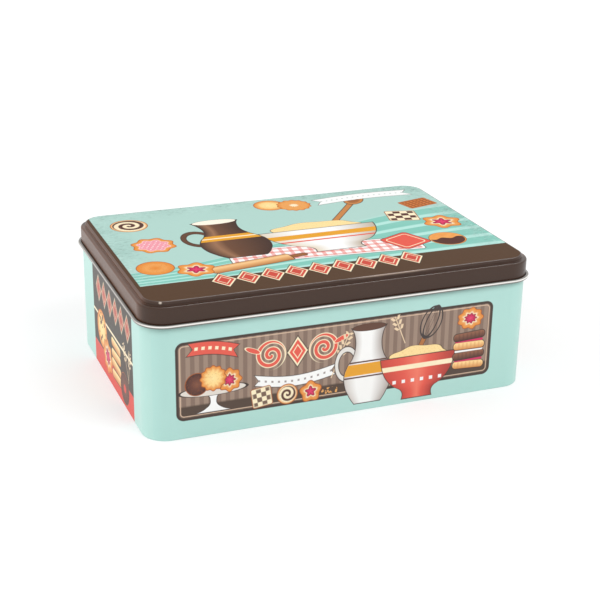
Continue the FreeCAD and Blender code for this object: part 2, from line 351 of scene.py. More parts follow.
class Print(Finish):
    """Inks laid on a tin's outside one over another, under a clear varnish.

    Where motifs are drawn on it, their places and sizes are in mm across and up
    the face, as it is looked at.
    """

    def __init__(self, name, ground, gloss=1.5, looked_at=None):
        super().__init__(name, {"IOR": gloss})
        self.colour = ground
        if looked_at:
            across, up = looked_at(*self.axes(self.place))
            self.across = across * (1 / MM)
            self.up = up * (1 / MM)
            self.face = self.node("ShaderNodeCombineXYZ", {}, {0: self.across, 1: self.up})
            self.crumb = self.between(self.noise(self.place, 1300, 2, 0.8), 0.52, 1.1)

    def lay(self, colour, mask):
        """Lay an ink over what is there."""
        self.colour = self.mix(mask, self.colour, colour)

    def fill(self, colour, distance, soft=0.3, share=1):
        """Lay an ink where the distance from a shape's edge is negative."""
        mask = distance.math("MULTIPLY_ADD", -share / soft, 0.5 * share, clamp=True)
        if share < 1:
            mask = mask.math("MINIMUM", share)
        self.lay(colour, mask)

    def drawn(self, colour, distance, pen=0.45, line=None):
        """Lay an ink with a pen line round it."""
        self.fill(line or PEN, distance - pen)
        self.fill(colour, distance)

    def ramp(self, value, stops):
        """Colours along a value, from its stops."""
        node = self.tree.nodes.new("ShaderNodeValToRGB")
        elements = node.color_ramp.elements
        while len(elements) < len(stops):
            elements.new(0.5)
        for element, (position, colour) in zip(elements, stops):
            element.position = position
            element.color = colour
        feed(node.inputs[0], value)
        return Value(node.outputs[0])

    def curve(self, value, heights):
        """A smooth curve through even steps, from 0 to 1."""
        node = self.tree.nodes.new("ShaderNodeFloatCurve")
        points = node.mapping.curves[0].points
        while len(points) < len(heights):
            points.new(0.5, 0.5)
        for number, (point, height) in enumerate(zip(points, heights)):
            point.location = (number / (len(heights) - 1), height)
        node.mapping.update()
        feed(node.inputs["Value"], value)
        return Value(node.outputs[0])

    def spot(self, x, y, turn=0, stretch=(1, 1)):
        """A place on the face with its own turned axes."""
        inputs = {0: self.face, 1: (x, y, 0), 2: (0, 0, radians(turn)), 3: (*stretch, 1)}
        return Spot(self, self.node("ShaderNodeMapping", {"vector_type": "TEXTURE"}, inputs))

    def varnish(self):
        """Close the print: varnish with faint mottle, on sheet that is not quite even."""
        mottle = self.noise(self.place, 900, 2)
        feed(self.shader.inputs["Base Color"], self.colour)
        feed(self.shader.inputs["Roughness"], 0.25 + 0.12 * mottle)
        self.bump(self.noise(self.place, 60, 1), 0.25, 0.02 * MM)
        return self.material


# Tinplate with no print on it. The grain of its rolling runs along the tin.
tinplate = Finish("bare_tinplate", {"Metallic": 1})
grain = tinplate.noise(tinplate.vector("MULTIPLY", tinplate.place, (60, 1200, 1200)), 1, 3, 0.6)
cloud = tinplate.noise(tinplate.place, 35, 3)
dull, bright = ink(186, 183, 178), ink(202, 199, 194)
feed(tinplate.shader.inputs["Base Color"], tinplate.mix(grain, dull, bright))
feed(tinplate.shader.inputs["Roughness"], 0.27 + 0.14 * grain + 0.1 * cloud)
tinplate.bump(grain, 0.2, 0.01 * MM)
BARE = tinplate.material

# The inks, and what is drawn with them more than once.
MINT = ink(174, 215, 207)
PEN = ink(58, 42, 36)
CORAL = ink(224, 88, 72)
CREAM = ink(247, 232, 196)
TAN = ink(232, 160, 84)
ORANGE = ink(226, 132, 44)
COCOA = ink(84, 44, 34)
WHITE = ink(244, 244, 242)
MUSTARD = ink(226, 158, 36)
JAM = ink(206, 36, 92)
BISCUIT_DARK = ink(160, 84, 34)
BAKED = ink(206, 130, 62)
STRAW = ink(232, 206, 170)
DOUGH = (ink(250, 220, 156), ink(196, 140, 70))
BUTTER = ((0, ink(252, 226, 160)), (0.6, ink(250, 210, 136)), (0.85, TAN), (1, ORANGE))
JAM_MIDDLE = (
    (0, ink(226, 60, 110)),
    (0.25, JAM),
    (0.46, ink(150, 20, 60)),
    (0.52, CREAM),
    (0.7, TAN),
    (1, ORANGE),
)
CHOCOLATE = ((0, ink(126, 76, 54)), (0.5, ink(98, 54, 40)), (1, ink(64, 32, 26)))


def biscuit(face, x, y, radius, count=0, depth=0, stops=BUTTER, turn=0, tall=1):
    """A round or flower-shaped biscuit in rings of colour, from its middle to its edge.

    The count is of petals, and the depth is of the notches between them.
    """
    spot = face.spot(x, y, turn, (1, tall))
    edge = spot.petals(radius, count, depth) if count else spot.disc(radius)
    face.fill(BISCUIT_DARK, edge - 0.4)
    tone = face.ramp((edge + radius) * (1 / radius), stops)
    face.fill(face.mix(face.crumb, tone, BISCUIT_DARK), edge)
    return spot, edge


def ribbon(face, x, y, half_long, half_wide, rise, colour, turn=0):
    """A blank ribbon with forked ends and a row of small dots."""
    spot = face.spot(x, y, turn)
    wave = spot.v - rise * (spot.u * (pi / 2 / half_long)).math("COSINE")
    edge = (abs(wave) - half_wide).and_(abs(spot.u) - abs(wave) * 0.8 - half_long + half_wide)
    face.drawn(colour, edge, 0.35)
    dots = abs((spot.u * 0.3).math("FRACT") - 0.5) * 3.3
    return dots.and_(abs(wave)) - 0.5, edge


def diamonds(face, x, y, count, cell, tall, colour=CORAL):
    """A row of coral diamonds with cream edges."""
    row = face.spot(x, y)
    along = abs((row.u * (1 / cell) + (0.5 if count % 2 else 0)).math("FRACT") - 0.5) * cell
    reach = cell * 0.43
    diamond = (along + abs(row.v) * (reach / tall) - reach) * 0.75
    diamond = diamond.and_(abs(row.u) - cell * (count / 2 - 0.05))
    face.fill(PEN, diamond - 1)
    face.fill(CREAM, diamond - 0.6)
    face.fill(colour, diamond + 0.1)
    face.fill(CREAM, abs(diamond + 1.5) - 0.2)


# The long sides: a striped panel with a dark border and a thin line inside it. Heights
# on them are counted from a little above the foot of the wall.
PRINT_FOOT = 2.2 * MM
PANEL_MIDDLE = (-3.9, 27.1)
PANEL_HALF = (82.3, 19.95)
PANEL_CORNER = 3.9
PANEL_BORDER = 1.4
PANEL_SHELF = 12.7
STRIPE_PITCH = 4.3
sides = Print(
    "wall_long_print",
    MINT,
    looked_at=lambda x, y, z: (x * -y.math("SIGN"), z - PRINT_FOOT),
)
panel = sides.spot(*PANEL_MIDDLE)
panel_edge = panel.box(*PANEL_HALF, PANEL_CORNER)
sides.fill(ink(62, 46, 38), panel_edge)
wave = (panel.u * (2 * pi / STRIPE_PITCH)).math("SINE") * 1.6 + 0.5
wave = wave.math("MAXIMUM", 0).math("MINIMUM", 1)
stripe = sides.mix(wave, ink(129, 106, 92), ink(153, 130, 114))
sides.fill(stripe, panel_edge + PANEL_BORDER)
sides.fill(ink(76, 58, 46), (panel.v + PANEL_SHELF).and_(panel_edge + PANEL_BORDER), 1)
sides.fill(ink(214, 184, 158), abs(panel_edge + 1.5 * PANEL_BORDER) - 0.22)

# A coral flourish of two scrolls about a diamond.
SCROLL_PITCH = 4.1
for side in (-1, 1):
    scroll = sides.spot(-26 + side * 13.5, 34.5, 0, (side, 1))
    turns = scroll.far() * (1 / SCROLL_PITCH) - scroll.angle() * (1 / (2 * pi))
    line = abs(turns.math("FRACT") - 0.5) * SCROLL_PITCH - 0.85
    line = line.and_(scroll.disc(7.3))
    sides.fill(CREAM, line - 0.45)
    sides.fill(CORAL, line)
    leaf = sides.spot(-26 + side * 22.5, 38, side * 24, (1, 0.3))
    sides.fill(CREAM, leaf.disc(4.5))
    sides.fill(CORAL, leaf.disc(3.8))
diamonds(sides, -26, 34.5, 1, 10, 6.5)

# A white ribbon below it, and a coral one at the panel's left.
dots, edge = ribbon(sides, -27, 22.5, 21, 2.6, -3, WHITE)
sides.fill(ink(150, 140, 136), dots.and_(edge))
dots, edge = ribbon(sides, -68, 41, 13, 3.1, 1.5, CORAL, -8)
sides.fill(CREAM, dots.and_(edge) - 0.3)


def wheat(face, x, y, turn, half_long):
    """A stalk in thin lines, whose upper half carries pairs of slanted grains."""
    spot = face.spot(x, y, turn)
    face.fill(STRAW, (abs(spot.v) - 0.22).and_(abs(spot.u) - half_long), 0.2)
    off = abs(spot.v) - 1.5
    along = abs((spot.u * 0.36 - 0.25 * off).math("FRACT") - 0.5) * 2.8
    grain = along + abs(off) * 0.9 - 1.15
    face.fill(STRAW, grain.and_(abs(spot.u - half_long * 0.55) - half_long * 0.5), 0.2)


wheat(sides, -4, 29, 68, 12)
wheat(sides, 27.5, 38, 112, 8)

# A cake stand with three biscuits.
stem = sides.spot(-68, 14)
sides.drawn(WHITE, stem.turned(-4, 6, (8, 3.5, 1.6, 1.4, 2, 6)))
plate = sides.spot(-68, 21, 0, (1, 0.16))
sides.drawn(ink(222, 214, 204), plate.disc(16), 1.5)
biscuit(sides, -76, 25, 5.5, stops=CHOCOLATE)
biscuit(sides, -60, 25, 5.5, 8, 0.5, JAM_MIDDLE)
biscuit(sides, -68, 27, 6, 12, 0.35)

# Checkerboard and pinwheel biscuits on the ground strip.
square = sides.spot(-44, 13.5, 8)
sides.drawn(CREAM, square.box(4.8, 4.8, 0.8), 0.4, BISCUIT_DARK)
checks = (square.u * (pi / 2.4)).math("SINE") * (square.v * (pi / 2.4)).math("SINE")
sides.fill(COCOA, (checks * -4).and_(square.box(4.3, 4.3, 0.4)), 1)
spot, edge = biscuit(sides, -31, 13, 5, stops=((0, CREAM), (0.8, CREAM), (1, TAN)))
swirl = (spot.far() * 0.4 - spot.angle() * (1 / (2 * pi))).math("FRACT") - 0.5
sides.fill(COCOA, (abs(swirl) * 2.5 - 0.6).and_(edge + 0.8), 0.4)
biscuit(sides, -19, 12.5, 5, 5, 0.6, JAM_MIDDLE, 20)

# Crumbs beside them.
crumbs = sides.specks(620) * 1.6 - 0.55
sides.fill(ink(226, 164, 92), crumbs.and_(sides.spot(-9.5, 11).box(5, 2.6, 2) + 0.5))

# A jug, a whisk and a bowl of dough that stand in front of the panel's lower edge.
whisk = sides.spot(39, 28, -24)
sides.drawn(ink(172, 108, 56), whisk.box(1.1, 5, 0.8), 0.3)
for size in (1, 0.55, 0.12):
    wire = sides.spot(44.4, 40, -24, (0.62 * size, 1))
    sides.fill(ink(60, 50, 48), abs(wire.disc(8.5)) - (0.5 if size == 1 else 0.9))
handle = sides.spot(-0.5, 24, 0, (0.8, 1.2))
sides.drawn(ink(226, 222, 216), abs(handle.disc(6.5)) - 1)
jug = sides.spot(11, 22)
jug_edge = jug.turned(-20, 20, (7, 10, 12, 12.5, 11, 8, 6.8, 7, 9))
enamel = ((0, ink(206, 198, 192)), (0.25, WHITE), (0.6, WHITE), (1, ink(176, 166, 160)))
sides.drawn(sides.ramp(jug.across * 0.5 + 0.5, enamel), jug_edge)
sides.fill(MUSTARD, (abs(jug.v + 2) - 3).and_(jug_edge))
sides.fill(COCOA, (abs(abs(jug.v + 2) - 4) - 0.4).and_(jug_edge))
mouth = sides.spot(11, 42, 0, (1, 0.22))
sides.drawn(ink(92, 58, 42), mouth.disc(8.6))
dough = sides.spot(38, 22, 0, (1, 0.4))
sides.drawn(sides.mix(sides.crumb, *DOUGH), dough.petals(16, 7, 0.9))
bowl = sides.spot(38, 11)
bowl_edge = bowl.turned(-10.5, 12, (8, 8, 13, 16.5, 18.5, 19.6, 20.2))
glaze = (
    (0, ink(196, 66, 54)),
    (0.3, CORAL),
    (0.5, ink(236, 120, 98)),
    (0.65, CORAL),
    (1, ink(168, 52, 44)),
)
sides.drawn(sides.ramp(bowl.across * 0.5 + 0.5, glaze), bowl_edge)
sides.fill(CREAM, (abs(bowl.v - 6.5) - 1.3).and_(bowl_edge))
spots = (abs((bowl.u * 0.2).math("FRACT") - 0.5) * 5).and_(abs(bowl.v + 1)) - 0.9
sides.fill(WHITE, spots.and_(bowl_edge))

# A stack of biscuits with fillings between them, at the right.
PLAIN_TONES = (BAKED, ink(252, 212, 146))
COCOA_TONES = (ink(70, 36, 28), ink(140, 90, 66))
STACK_PITCH = 5.2
for level, tilt in enumerate((-3, 2, -1, 3)):
    layer = sides.spot(66, 14 + STACK_PITCH * level, tilt)
    dark, light = COCOA_TONES if level % 2 else PLAIN_TONES
    tone = sides.ramp(layer.v * 0.25 + 0.5, ((0, dark), (0.8, light)))
    sides.drawn(tone, layer.box(8.6, 1.9, 1.7), 0.4)
    ribs = abs((layer.u * 0.45).math("FRACT") - 0.5) - 0.08
    sides.fill(dark, ribs.and_(layer.box(7.6, 1.4, 1)), 0.5, 0.6)
    if level < 3:
        filling = sides.spot(66, 14 + STACK_PITCH * (level + 0.5))
        sides.fill(WHITE if level % 2 else JAM, filling.box(7.8, 0.6, 0.6))
biscuit(sides, 66, 39, 6.6, 9, 0.5, JAM_MIDDLE, 0, 0.8)

# Painted shade: the print is darkened in a band just below the lid's edge, where the lid's curl
# shades the wall. Heights on the wall, in mm.
LID_SHADE_FOOT = 53.4
LID_SHADE_DARKEST = (57.8, 58.4)
LID_SHADE_TOP = 60.5
LID_SHADE_SHARE = 0.62


def shade_below_lid(face, height):
    """Paint shade in a band round the wall, darkest just below the lid's edge, that fades out
    downwards.
    """
    below = face.between(height, LID_SHADE_FOOT, LID_SHADE_DARKEST[0])
    above = face.between(height, LID_SHADE_TOP, LID_SHADE_DARKEST[1])
    face.lay(ink(104, 138, 132), below * below * above * LID_SHADE_SHARE)


# Painted shade below the lid's edge on the long sides.
shade_below_lid(sides, sides.up + PRINT_FOOT / MM)
long_print = sides.varnish()

# The short sides: a dark field with a coral foot and a cream line across it. The
# diamonds above the line are printed over with a thin coat of the field's ink.
END_MINT = ink(180, 217, 209)
END_DARK = ink(56, 44, 34)
END_CORAL = ink(216, 64, 48)
END_FIELD = (-36, 43.3)
CORAL_TOP = 13
LINE_MIDDLE = 30.1
COAT_FOOT = 34
COAT_SHARE = 0.35
ends = Print(
    "wall_end_print",
    END_MINT,
    gloss=1.25,
    looked_at=lambda x, y, z: (y * x.math("SIGN"), z),
)
field = (END_FIELD[0] - ends.across).and_(ends.across - END_FIELD[1])
# Painted shade below the lid's edge on the ends.
shade_below_lid(ends, ends.up)
ends.fill(END_DARK, field)
ends.fill(END_CORAL, field.and_(ends.up - CORAL_TOP))
ends.fill(CREAM, field.and_(abs(ends.up - LINE_MIDDLE) - 0.65))
diamonds(ends, 5.5, 45, 6, 11.6, 6.5)
ends.fill(END_DARK, field.and_(COAT_FOOT - ends.up), share=COAT_SHARE)
wheat(ends, 30, 26, 118, 9)
wheat(ends, 36, 25, 78, 9)

# A biscuit with chocolate chips, one with jam, a stack of four, and a chocolate ring.
edge = biscuit(ends, -19, 24, 10)[1]
ends.fill(COCOA, ((ends.specks(300) - 0.34) * 4).and_(edge + 1.2))
biscuit(ends, -8, 13, 8.5, 8, 0.8, JAM_MIDDLE)
for level, tilt in enumerate((2, -3, 2, -2)):
    layer = ends.spot(10, 9 + 5.6 * level, tilt)
    body = layer.box(9, 2.3, 2)
    tone = ends.ramp(layer.v * 0.22 + 0.5, ((0, BAKED), (0.8, ink(252, 222, 160))))
    ends.drawn(tone, body, 0.4)
    ribs = abs((layer.u * 0.4).math("FRACT") - 0.5) - 0.1
    ends.fill(BAKED, ribs.and_(body + 1), 0.5, 0.6)
ring = biscuit(ends, 26, 10, 8, stops=CHOCOLATE)[0]
ends.fill(END_CORAL, ring.disc(2.2))
end_print = ends.varnish()

# The wall is drawn from the free end of its hook, round under the base's rim and up
# to its rolled edge, and then led round the tin.
corner_middle = (wall_high[0] - CORNER, wall_low[1] + CORNER)
hook_reach = 2 * HOOK_BEND + HOOK_FLAT
wall_strip = Strip("tin_wall", corner_middle[0], wall_low[1] + hook_reach, HOOK_LEG, -90)
wall_strip.run(HOOK_LEG - HOOK_BEND).bend(HOOK_BEND, -90, 6).run(HOOK_FLAT)
wall_strip.bend(HOOK_BEND, -90, 6).run(wall_high[2] - HOOK_BEND - WALL_CURL)
wall_strip.bend(WALL_CURL, -WALL_CURL_TURN, 20)
take_round(wall_strip, corner_middle)
tin_wall = wall_strip.piece


def in_back(place):
    """Say whether a place is on the outside of the back wall."""
    return place.y > wall_high[1] - HAIR


press_groove(tin_wall, in_back, GROOVE_PLACE, GROOVE_HALF_WIDE, GROOVE_DEEP)
give_thickness(tin_wall, (long_print, BARE, end_print))
LONG_SIDE, BARE_METAL, SHORT_SIDE = range(3)


def wall_finish(place, normal):
    """Bare above the print, else the print of the side that the place is on."""
    if place.z > UNPRINTED:
        return BARE_METAL
    near_end = wall_high[0] - abs(place.x) < wall_high[1] - abs(place.y)
    return SHORT_SIDE if near_end else LONG_SIDE


share_out(tin_wall, wall_finish)
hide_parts("body_wall")
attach(tin_wall, "tin")

# ---------------------------------------------------------------- Lock seam
# The wall strip's two ends, folded into each other inside the back wall and
# pressed flat. It stops short of the rolled edge and of the base.
SEAM_PLACE = 46 * MM
SEAM_WIDE = 4.5 * MM
SEAM_THICK = 2 * SHEET
SEAM_FOOT = 4.45 * MM
SEAM_TOP = 64.55 * MM
SEAM_EDGE = 0.15 * MM
FOLD_PLACE = SEAM_PLACE - 1.4 * MM
FOLD_HALF_WIDE = 0.12 * MM
FOLD_DEEP = 0.1 * MM

bpy.ops.object.select_all(action="DESELECT")
seam_middle = (SEAM_PLACE, wall_high[1] - SHEET - SEAM_THICK / 2, (SEAM_FOOT + SEAM_TOP) / 2)
seam_size = (SEAM_WIDE, SEAM_THICK, SEAM_TOP - SEAM_FOOT)
bpy.ops.mesh.primitive_cube_add(size=1, location=seam_middle, scale=seam_size)
lock_seam = bpy.context.object
lock_seam.name = "lock_seam"
bpy.ops.object.transform_apply(location=True, rotation=False, scale=True)
bpy.ops.object.mode_set(mode="EDIT")
inner = wall_high[1] - SHEET - SEAM_THICK
press_groove(lock_seam, lambda place: True, FOLD_PLACE, FOLD_HALF_WIDE, 0)
take(lock_seam, lambda place: abs(place.y - inner) < HAIR and abs(place.x - FOLD_PLACE) < HAIR)
bpy.ops.transform.translate(value=(0, FOLD_DEEP, 0))
bpy.ops.object.mode_set(mode="OBJECT")
rounding = lock_seam.modifiers.new("folds", "BEVEL")
rounding.width = SEAM_EDGE
rounding.segments = 3
rounding.limit_method = "ANGLE"
rounding.angle_limit = radians(60)
bpy.ops.object.modifier_apply(modifier=rounding.name)
bpy.ops.object.shade_smooth_by_angle(angle=SMOOTH_UP_TO)
lock_seam.data.materials.append(BARE)
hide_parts("body_wall")
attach(lock_seam, "tin")

# ---------------------------------------------------------------- Base
# One pressed panel of bare tinplate with a raised middle. Its rim is folded
# inward into a hem, which the wall's hook holds.
BASE_RAISED = 4.35 * MM
BASE_BORDER = 9.7 * MM
BASE_STEP = 0.45 * MM
BASE_STEP_FOOT = 0.35 * MM
BASE_SHOULDER = 3.45 * MM
BASE_EDGE = 0.6 * MM
BASE_HEM = 0.35 * MM
BASE_HEM_TOP = 2.4 * MM

base_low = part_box("base")[0]
base_strip = Strip("tin_base", corner_middle[0], wall_low[1] + BASE_BORDER, BASE_RAISED, 180)
base_strip.bend(BASE_STEP, 90, 5)
base_strip.run(BASE_RAISED - BASE_SHOULDER - BASE_STEP - BASE_STEP_FOOT)
base_strip.bend(BASE_STEP_FOOT, -90, 5)
base_strip.run(base_strip.y - base_low[1] - BASE_EDGE)
base_strip.bend(BASE_EDGE, 90, 6)
base_strip.run(BASE_SHOULDER - BASE_EDGE - base_low[2] - BASE_HEM)
base_strip.bend(BASE_HEM, 180, 10)
base_strip.run(BASE_HEM_TOP - base_low[2] - BASE_HEM)
take_round(base_strip, corner_middle)
tin_base = base_strip.piece
cover(tin_base, lambda place: place.z > BASE_RAISED - HAIR)
give_thickness(tin_base, (BARE, BARE))
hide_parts("base")
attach(tin_base, "tin")

# ---------------------------------------------------------------- Lid
# One drawn cap of printed tinplate. Its flat top stands up from a narrow
# shoulder, and the skirt's lower edge is rolled outward, so that the curl shows
# the sheet's bare inner side.
LID_FLAT = 2.75 * MM
LID_TOP_EDGE = 1.05 * MM
LID_FOOT = 0.4 * MM
LID_SHOULDER = 67.4 * MM
LID_SHOULDER_EDGE = 0.9 * MM
LID_SKIRT_OUT = 0.65 * MM
LID_CURL = 0.7 * MM
LID_CURL_TURN = 300
LID_CURL_MIDDLE = 58.45 * MM

# The brown of the shoulder and the skirt, lighter at the tin's two ends.
PALER_FROM, PALER_FULL = 95.5 * MM, 98.5 * MM
PALER_CORNER_FROM, PALER_CORNER_FULL = 62.5 * MM, 57 * MM
edge_print = Print("lid_edge_print", ink(57, 35, 22), gloss=1.45)
along, across, height = edge_print.axes(edge_print.place)
at_end = edge_print.between(abs(along), PALER_FROM, PALER_FULL)
at_end = at_end * edge_print.between(abs(across), PALER_CORNER_FROM, PALER_CORNER_FULL)
edge_print.lay(ink(88, 53, 31), at_end)

# A painted highlight lies along the front of the raised top's edge, right of the middle, and a
# small round one at one corner.
SHINE_MIDDLE, SHINE_HALF, SHINE_FULL = 24 * MM, 26 * MM, 9 * MM
SHINE_LOW, SHINE_HIGH = 68.8 * MM, 69.2 * MM
SHINE_BACK, SHINE_FRONT = -63.5 * MM, -64.5 * MM
SHINE_SHARE = 0.6
GLINT_PLACE = (-91.9 * MM, -65.6 * MM, 69.3 * MM)
GLINT_FAR, GLINT_FULL = 1.05 * MM, 0.4 * MM
shine_mask = edge_print.between(abs(along - SHINE_MIDDLE), SHINE_HALF, SHINE_FULL)
shine_mask = shine_mask * edge_print.between(height, SHINE_LOW, SHINE_HIGH)
shine_mask = shine_mask * edge_print.between(across, SHINE_BACK, SHINE_FRONT)
# Painted highlight along the raised top's front edge.
edge_print.lay(ink(172, 150, 134), shine_mask * SHINE_SHARE)
# A small painted highlight at the raised top's front left corner.
glint_distance = edge_print.vector("DISTANCE", edge_print.place, GLINT_PLACE, output=1)
edge_print.lay(ink(206, 194, 180), edge_print.between(glint_distance, GLINT_FAR, GLINT_FULL))
brown_print = edge_print.varnish()

# The top's print: a mint field that leaves a brown margin at the left and a brown
# band in front, with pale and teal stripes that fan out to the right.
TOP_PRINT_FOOT = 69.2 * MM
TOP_MARGIN_LEFT = -95.3
TOP_BAND = -43.8
STRIPES_LEFT = -26
STRIPES_RISE = 48
STRIPE_COUNT = 5
TEAL_HALF = 0.35
BROWN = ink(82, 57, 37)
TOP_MINT = ink(172, 207, 198)
TEAL = ink(119, 190, 175)
PALE = ink(177, 224, 214)
PINK = ink(238, 156, 170)
lid = Print("lid_print", BROWN, gloss=1.08, looked_at=lambda x, y, z: (x, y))
field = (TOP_MARGIN_LEFT - lid.across).and_(TOP_BAND - lid.up)
reach = lid.between(lid.across, -95, 95)
swell = reach * reach * (3 - 2 * reach)
stripes_high = STRIPES_LEFT + STRIPES_RISE * swell
depth = (stripes_high - lid.up) / (stripes_high - TOP_BAND)
teal_edge = abs((depth * STRIPE_COUNT).math("FRACT") - TEAL_HALF) - TEAL_HALF
teal_mask = teal_edge.math("MULTIPLY_ADD", -8, 0.5, clamp=True)
teal_mask = teal_mask * lid.between(depth, -0.005, 0.005) * lid.between(-field, -0.1, 0.1)
smear = lid.noise(lid.vector("MULTIPLY", lid.place, (18, 90, 1)), 1, 2)
lid.fill(TOP_MINT, field)
lid.fill(PALE, (-depth * 20).and_(field), 2)
lid.lay(TEAL, teal_mask * (0.66 + 0.4 * smear))


def streaks(face, fineness, scale, low):
    """Short scratches along the tin, where fine noise is above the low amount."""
    noise = face.noise(face.vector("MULTIPLY", face.place, (*fineness, 1)), scale, 3, 0.7)
    return face.between(noise, low, 0.62)


# Faint wear, mostly near the edges: blotches and dark ticks, and pale glints, which are painted
# highlights.
border = lid.between(lid.spot(0, 0).box(96.5, 65.5, 20), -17, -2)
blotch = lid.between(lid.noise(lid.place, 42, 4, 0.6), 0.42, 0.66)
lid.lay(ink(146, 182, 173), blotch * border * 0.6)
ticks = streaks(lid, (240, 760), 1, 0.54)
lid.lay(ink(120, 150, 141), ticks * border * (0.25 + 0.75 * blotch))
glints = streaks(lid, (300, 900), 1.3, 0.56)
lid.lay(ink(206, 230, 224), glints * border * 0.5)
lid.fill(BROWN, -field)

# A folded white cloth with coral checks, under the rest.
cloth = lid.spot(6, -24, -5)
cloth_edge = cloth.box(50, 9.5, 1.5)
lid.drawn(WHITE, cloth_edge)
for side in (cloth.u, cloth.v):
    check = abs((side * (1 / 5)).math("FRACT") - 0.5) - 0.2
    lid.fill(CORAL, (check * 5).and_(cloth_edge + 1.2), 0.3, 0.55)

# A wooden spoon, and a bowl of dough with a mustard band.
WOOD = ink(196, 128, 66)
lid.drawn(WOOD, lid.spot(38, 30, 52).box(26, 1.5, 1.5))
ladle = lid.spot(52, 48, 52, (1.5, 1))
lid.drawn(WOOD, ladle.disc(5))
lid.fill(ink(160, 96, 44), ladle.disc(3.4), 1)
dough = lid.spot(14, 9, 0, (1, 0.42))
lid.drawn(lid.mix(lid.crumb, *DOUGH), dough.petals(25, 7, 1.2))
bowl = lid.spot(14, -6)
bowl_edge = bowl.turned(-19, 15, (13, 13, 21, 26, 29, 31, 32))
enamel = ((0, ink(222, 208, 186)), (0.3, WHITE), (0.62, WHITE), (1, ink(190, 176, 158)))
lid.drawn(lid.ramp(bowl.across * 0.5 + 0.5, enamel), bowl_edge, 0.6)
lid.fill(MUSTARD, (abs(bowl.v - 5) - 3.2).and_(bowl_edge))
lid.fill(CORAL, (abs(bowl.v + 2) - 0.8).and_(bowl_edge))

# A chocolate-brown jug.
handle = lid.spot(-50, 12, 0, (0.8, 1.15))
lid.drawn(ink(96, 62, 42), abs(handle.disc(9)) - 1.5)
jug = lid.spot(-34, 8)
jug_edge = jug.turned(-28, 28, (10, 14.5, 17, 17.5, 15.5, 11.5, 9.5, 10, 12.5))
glaze = (
    (0, ink(70, 44, 32)),
    (0.22, ink(150, 108, 78)),
    (0.36, ink(104, 68, 46)),
    (1, ink(62, 38, 28)),
)
lid.drawn(lid.ramp(jug.across * 0.5 + 0.5, glaze), jug_edge, 0.6)
lid.fill(MUSTARD, (abs(jug.v - 2) - 4).and_(jug_edge))
lid.fill(CREAM, (abs(jug.v - 2) - 0.7).and_(jug_edge))
mouth = lid.spot(-34, 36, 0, (1, 0.3))
lid.drawn(ink(250, 240, 222), mouth.disc(12))

# A rolling pin.
pin = lid.spot(-36, -31, 9)
lid.drawn(ink(150, 92, 48), pin.box(31, 1.7, 1.7))
beech = (
    (0, ink(170, 108, 58)),
    (0.45, ink(222, 164, 104)),
    (0.75, ink(240, 196, 140)),
    (1, ink(206, 146, 88)),
)
lid.drawn(lid.ramp(pin.v * 0.11 + 0.5, beech), pin.box(22, 4.4, 1.6))

# A pot holder with a stitched edge.
holder = lid.spot(50, -24, 24)
lid.drawn(CORAL, holder.box(9.5, 9.5, 2))
lid.fill(CREAM, abs(holder.box(8.5, 8.5, 3) + 1) - 0.3)

# Biscuits: a pinwheel, a pink iced one with seeds, plain ones, some with jam, one
# half dipped in chocolate, a checkerboard and a wafer.
spot, edge = biscuit(lid, -78, 44, 9.5, stops=((0, CREAM), (0.85, CREAM), (1, TAN)))
swirl = (spot.far() * 0.22 - spot.angle() * (1 / (2 * pi))).math("FRACT") - 0.5
lid.fill(COCOA, (abs(swirl) * 4 - 1).and_(edge + 0.8), 0.5)
iced = ((0, PINK), (0.7, PINK), (0.74, ink(250, 206, 210)), (0.8, TAN), (1, ORANGE))
spot, edge = biscuit(lid, -74, 10, 10.5, 8, 0.8, iced, 20)
seeds = (spot.u * 1.7).math("SINE") * (spot.v * 1.9).math("SINE")
lid.fill(WHITE, (seeds * -6 + 4.6).and_(edge + 3.5))
biscuit(lid, -82, -22, 9, stops=((0, ORANGE), (0.5, TAN), (1, ORANGE)))
biscuit(lid, -64, -30, 8.5, 6, 1, JAM_MIDDLE, 12)
biscuit(lid, 4, 54, 8.5)
cream_middle = ((0, CREAM), (0.2, CREAM), (0.3, TAN), (0.8, TAN), (1, ORANGE))
biscuit(lid, 17, 50, 9, 14, 0.4, cream_middle)
biscuit(lid, 82, -2, 9.5, 6, 1.2, JAM_MIDDLE, 10)
spot, edge = biscuit(lid, 72, -28, 9.5)
bake = lid.noise(lid.place, 260, 2, 0.6)
lid.fill(lid.mix(bake, ink(244, 178, 98), ink(222, 134, 56)), edge)
lid.fill(COCOA, (spot.v - 1 + (spot.u * 0.7).math("SINE")).and_(edge + 0.4))
square = lid.spot(66, 14, -12)
lid.drawn(CREAM, square.box(8, 8, 1), 0.5, BISCUIT_DARK)
checks = (square.u * (pi / 4)).math("SINE") * (square.v * (pi / 4)).math("SINE")
lid.fill(COCOA, (checks * -8).and_(square.box(7.4, 7.4, 0.5)), 1)
wafer = lid.spot(84, 32, 14)
lid.drawn(ink(206, 118, 48), wafer.box(9, 6, 0.8), 0.5, BISCUIT_DARK)
lines = [abs((side * 0.4).math("FRACT") - 0.5) for side in (wafer.u, wafer.v)]
cells = 0.36 - lines[0].and_(lines[1])
lid.fill(ink(140, 68, 24), cells.and_(wafer.box(8.4, 5.4, 0.3)), 0.1)

# A blank ribbon, and a row of coral diamonds along the brown band.
dots, edge = ribbon(lid, 59, 51.5, 30, 4.6, 2.5, WHITE, 2)
lid.fill(ink(176, 186, 184), dots.and_(edge))
diamonds(lid, -7, -48, 9, 12.2, 7.8, ink(200, 74, 60))
lid_print = lid.varnish()
